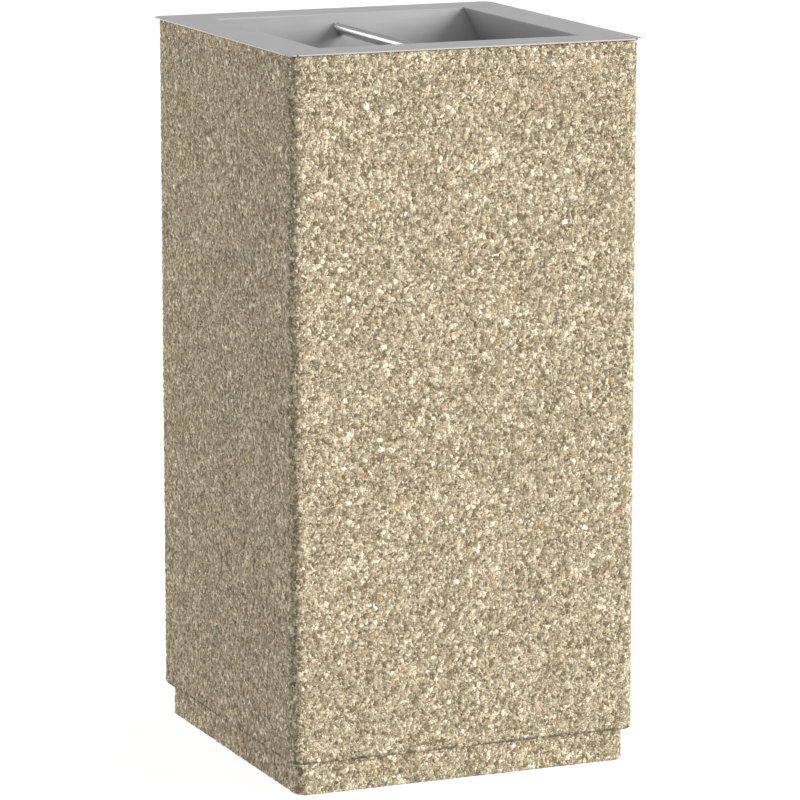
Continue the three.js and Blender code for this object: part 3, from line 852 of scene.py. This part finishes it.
def bucket_bead(galvanised):
    """The rolled edge round the bucket's mouth."""
    low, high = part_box("bucket_rim")
    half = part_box("bucket_shell")[1].x
    middle_height = (low.z + high.z) / 2
    radius_up = (high.z - low.z) / 2
    radius_out = radius_up - BUCKET_SHEET / 2
    middle = high.x - radius_out
    profile = [(middle + x * radius_out, middle_height + z * radius_up) for x, z in circle(0, 0, 1, 20)]
    install(swept_square("bucket_bead", profile, half, BUCKET_CORNER, galvanised), "bucket_rim")


def bucket_pan(galvanised):
    """The base: a sheet with its middle pressed up and its edge folded down."""
    low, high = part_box("bucket_base")
    half = high.x
    sheet = high.z - low.z
    upper_side = [
        (half, low.z - PAN_FLANGE),
        (half, high.z - PAN_BEND),
        (half - PAN_BEND, high.z),
        (half - PAN_RIM, high.z),
        (half - PAN_RIM - PAN_SLOPE, high.z + PAN_PRESS),
    ]
    lower_side = [(reach - sheet, height - sheet) for reach, height in upper_side]
    bm = bmesh.new()
    sides = []
    for profile in (upper_side, lower_side):
        rings = []
        for reach, height in profile:
            radius = max(BUCKET_CORNER + reach - half, PAN_LEAST_CORNER)
            rings.append(add_ring(bm, rounded_loop(reach, reach, radius), height))
        for ring, following in zip(rings, rings[1:]):
            bridge(bm, ring, following)
        bm.faces.new(rings[-1])
        sides.append(rings)
    bridge(bm, sides[0][0], sides[1][0])
    bmesh.ops.recalc_face_normals(bm, faces=bm.faces)
    install(finished("bucket_pan", bm, galvanised), "bucket_base")


def ear_rivets(zinc):
    """The rivets through the ears, each with a domed head outside and inside."""
    arcs = [math.radians(90 * step / 6) for step in range(7)]
    for side in ("left", "right"):
        for number in (1, 2):
            node = f"ear_rivet_{side}_{number}"
            low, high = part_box(node)
            grip = high.x - low.x - 2 * HEAD_HEIGHT
            dome = [(HEAD_RADIUS * math.sin(arc), -HEAD_HEIGHT * math.cos(arc)) for arc in arcs]
            profile = dome + [(RIVET_RADIUS, 0), (RIVET_RADIUS, grip)]
            profile += [(radius, grip - height) for radius, height in reversed(dome)]
            middle = (low + high) / 2
            place = Matrix.Translation(middle) @ Matrix.Rotation(math.pi / 2, 4, "Y")
            place = place @ Matrix.Translation((0, 0, -grip / 2))
            install(turned(node + "_domed", profile, place, zinc, steps=32), node)


def ash_bucket(galvanised, zinc):
    bucket_walls(galvanised)
    bucket_bead(galvanised)
    bucket_pan(galvanised)
    ear_rivets(zinc)
    for node in ("bail_ear_left", "bail_ear_right"):
        eased(node, EAR_EASE, zinc)


# ---- Bail ----

def bail_place():
    """The matrix that folds the upright bail forward until its grip lies against the bucket."""
    bucket_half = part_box("bucket_shell")[1].x
    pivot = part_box("bucket_rim")[1].z - PIVOT_BELOW_RIM
    below_level = math.acos((bucket_half + GRIP_RADIUS + BAIL_CLEARANCE) / BAIL_REACH)
    return Matrix.Translation((0, 0, pivot)) @ Matrix.Rotation(math.pi / 2 + below_level, 4, "X")


def quarter(centre_x, centre_z, radius, start, steps=12):
    """Points of a quarter circle in the XZ plane that turns clockwise from the angle start, in degrees."""
    angles = [math.radians(start - 90 * step / steps) for step in range(steps + 1)]
    return [(centre_x + radius * math.cos(angle), centre_z + radius * math.sin(angle)) for angle in angles]


def bail_wire(galvanised):
    """One wire: across the top, down both arms and in through the ears."""
    right = [(0, BAIL_REACH)]
    right += quarter(ARM_HALF - BAIL_BEND, BAIL_REACH - BAIL_BEND, BAIL_BEND, 90)
    right += quarter(ARM_HALF - PIN_BEND, PIN_BEND, PIN_BEND, 0)
    right += [(PIN_HALF + WIRE_RADIUS, 0), (PIN_HALF, 0)]
    left = [(-x, z) for x, z in reversed(right[1:])]
    curve = bpy.data.curves.new("bail_path", "CURVE")
    curve.dimensions = "3D"
    curve.bevel_depth = WIRE_RADIUS
    curve.bevel_resolution = 5
    curve.use_fill_caps = True
    spline = curve.splines.new("POLY")
    spline.points.add(len(left + right) - 1)
    for point, (x, z) in zip(spline.points, left + right):
        point.co = (x, 0, z, 1)
    for end in (spline.points[0], spline.points[-1]):
        end.radius = PIN_TAPER
    path = bpy.data.objects.new("bail_path", curve)
    bpy.context.scene.collection.objects.link(path)
    mesh = bpy.data.meshes.new_from_object(path)
    bpy.data.objects.remove(path)
    mesh.transform(bail_place())
    mesh.materials.clear()
    install(as_object("bail_wire_smooth", mesh, galvanised), "bail_wire")


def bail_grip(black):
    """The moulded grip: a collar at each end and rounded ribs for the fingers between them."""
    steps = GRIP_RIBS * 8
    ribbed_half = GRIP_HALF - 2 * GRIP_COLLAR
    ribbed = []
    for step in range(steps + 1):
        along = step / steps
        rib = 0.5 - 0.5 * math.cos(2 * math.pi * GRIP_RIBS * along)
        ribbed.append((GRIP_WAIST + RIB_RISE * (rib - 0.5), ribbed_half * (2 * along - 1)))
    collar = [
        (GRIP_BORE, GRIP_HALF),
        (GRIP_RADIUS - GRIP_EASE, GRIP_HALF),
        (GRIP_RADIUS - GRIP_EASE * 0.3, GRIP_HALF - GRIP_EASE * 0.3),
        (GRIP_RADIUS, GRIP_HALF - GRIP_EASE),
        (GRIP_RADIUS, GRIP_HALF - GRIP_COLLAR),
    ]
    profile = [(radius, -height) for radius, height in collar] + ribbed + collar[::-1]
    place = bail_place() @ Matrix.Translation((0, 0, BAIL_REACH)) @ Matrix.Rotation(math.pi / 2, 4, "Y")
    install(turned("ribbed_grip", profile, place, black, closed=True), "bail_grip")


# ---- Cast-in fittings ----

def upright(node):
    """The outer radius, the height and the place of an upright round CAD node."""
    low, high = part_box(node)
    middle = (low + high) / 2
    place = Matrix.Translation((middle.x, middle.y, low.z))
    return (high.x - low.x) / 2, high.z - low.z, place


def floor_sleeves(grey):
    """Plastic tubes through the concrete floor, with their rims eased."""
    ease = FITTING_EASE
    for node in ("drain_sleeve", "anchor_sleeve_1", "anchor_sleeve_2"):
        outer, height, place = upright(node)
        inner = outer - SLEEVE_WALL
        profile = [
            (inner, ease),
            (inner + ease, 0),
            (outer - ease, 0),
            (outer, ease),
            (outer, height - ease),
            (outer - ease, height),
            (inner + ease, height),
            (inner, height - ease),
        ]
        install(turned(node + "_turned", profile, place, grey, closed=True), node)


def lifting_sockets(zinc):
    """Sockets for lifting eyes: a blind bore with a countersunk mouth and the ridges of its thread."""
    groove = SOCKET_BORE + THREAD_DEPTH
    rim_ease = 0.4 * MM
    mouth_flare = 1.2 * MM
    drill_point = 1.5 * MM
    for number in range(1, 5):
        node = f"lifting_socket_{number}"
        outer, height, place = upright(node)
        profile = [
            (0, 0),
            (outer - SOCKET_CHAMFER, 0),
            (outer, SOCKET_CHAMFER),
            (outer, height - rim_ease),
            (outer - rim_ease, height),
            (SOCKET_BORE + mouth_flare, height),
            (groove, height - THREAD_START),
        ]
        for ridge in range(1, round((SOCKET_BORE_DEPTH - THREAD_RUN_OUT) / THREAD_PITCH)):
            ridge_height = height - THREAD_START - ridge * THREAD_PITCH
            profile += [(groove, ridge_height + THREAD_PITCH / 2), (SOCKET_BORE, ridge_height)]
        bottom = height - SOCKET_BORE_DEPTH
        profile += [(SOCKET_BORE, bottom), (0, bottom - drill_point)]
        install(turned(node + "_threaded", profile, place, zinc, steps=32), node)


def socket_plugs(black):
    """Plastic plugs that keep the sockets clean, each with a round recess in its head."""
    ease = FITTING_EASE
    for number in range(1, 5):
        node = f"socket_plug_{number}"
        outer, height, place = upright(node)
        profile = [
            (0, 0),
            (outer - 2 * ease, 0),
            (outer, 2 * ease),
            (outer, height - ease),
            (outer - ease, height),
            (PLUG_RECESS + ease / 2, height),
            (PLUG_RECESS, height - ease / 2),
            (PLUG_RECESS, height - PLUG_RECESS_DEPTH),
            (0, height - PLUG_RECESS_DEPTH),
        ]
        install(turned(node + "_moulded", profile, place, black, steps=32), node)


# ---- Stage ----

def floor():
    mesh = bpy.data.meshes.new("floor")
    reach = 30.0
    corners = [(x * reach, y * reach, 0) for x, y in ((-1, -1), (1, -1), (1, 1), (-1, 1))]
    mesh.from_pydata(corners, [], [(0, 1, 2, 3)])
    material, tree, shader, place = new_material("pale_floor")
    cloud = noise(tree, place, 1.5, 2.0).outputs["Fac"]
    wire(tree, shader, ramp(tree, cloud, [(0.3, (0.19, 0.19, 0.19)), (0.7, (0.21, 0.21, 0.21))]))
    shader.inputs["Roughness"].default_value = 0.9
    shader.inputs["Specular IOR Level"].default_value = 0.1
    shader.inputs["Emission Color"].default_value = (1, 1, 1, 1)
    shader.inputs["Emission Strength"].default_value = 0.90
    as_object("floor", mesh, material)


def light(kind, name, direction, distance, power, size, colour=(1.0, 1.0, 1.0)):
    """A light that shines on the column from a direction. Its size is a width in metres, or a sun's angle."""
    data = bpy.data.lights.new(name, kind)
    data.energy = power
    data.color = colour
    if kind == "SUN":
        data.angle = size
    else:
        data.shape = "RECTANGLE"
        data.size = size
        data.size_y = size / 2
    lamp = bpy.data.objects.new(name, data)
    bpy.context.scene.collection.objects.link(lamp)
    lamp.location = Vector((0, 0, 0.35)) + Vector(direction).normalized() * distance
    lamp.rotation_euler = (-Vector(direction)).to_track_quat("-Z", "Y").to_euler()


def studio():
    floor()
    light("SUN", "key", (0.724, -0.652, 0.225), 4.0, 5.4, math.radians(26))
    light("AREA", "fill", (-0.60, 0.80, 0.05), 3.0, 38, 1.4, (1.0, 0.955, 0.84))
    light("SUN", "rim", (-0.50, 0.82, 0.27), 4.0, 0.62, math.radians(36))
    world = bpy.data.worlds.new("studio")
    bpy.context.scene.world = world
    world.use_nodes = True
    background = world.node_tree.nodes["Background"]
    background.inputs["Color"].default_value = (1, 1, 1, 1)
    background.inputs["Strength"].default_value = 0.40
    bpy.context.scene.view_settings.view_transform = "Standard"


def camera():
    forward = Vector((
        math.sin(VIEW_AZIMUTH) * math.cos(VIEW_ELEVATION),
        math.cos(VIEW_AZIMUTH) * math.cos(VIEW_ELEVATION),
        -math.sin(VIEW_ELEVATION),
    ))
    data = bpy.data.cameras.new("camera")
    data.lens = LENS
    data.clip_end = 100
    view = bpy.data.objects.new("camera", data)
    bpy.context.scene.collection.objects.link(view)
    view.location = VIEW_TARGET - forward * VIEW_DISTANCE
    view.rotation_euler = forward.to_track_quat("-Z", "Y").to_euler()
    bpy.context.scene.camera = view


camera()
studio()
galvanised_steel = galvanised_material()
zinc_plate = zinc_plate_material()
sleeve_plastic = plastic_material("sleeve_plastic", (0.17, 0.175, 0.18), (0.30, 0.30, 0.30))
black_plastic = plastic_material("black_plastic", (0.016, 0.016, 0.016), (0.07, 0.07, 0.07))
concrete_casting()
floor_sleeves(sleeve_plastic)
lifting_sockets(zinc_plate)
socket_plugs(black_plastic)
steel_top()
ash_bucket(galvanised_steel, zinc_plate)
bail_wire(galvanised_steel)
bail_grip(black_plastic)
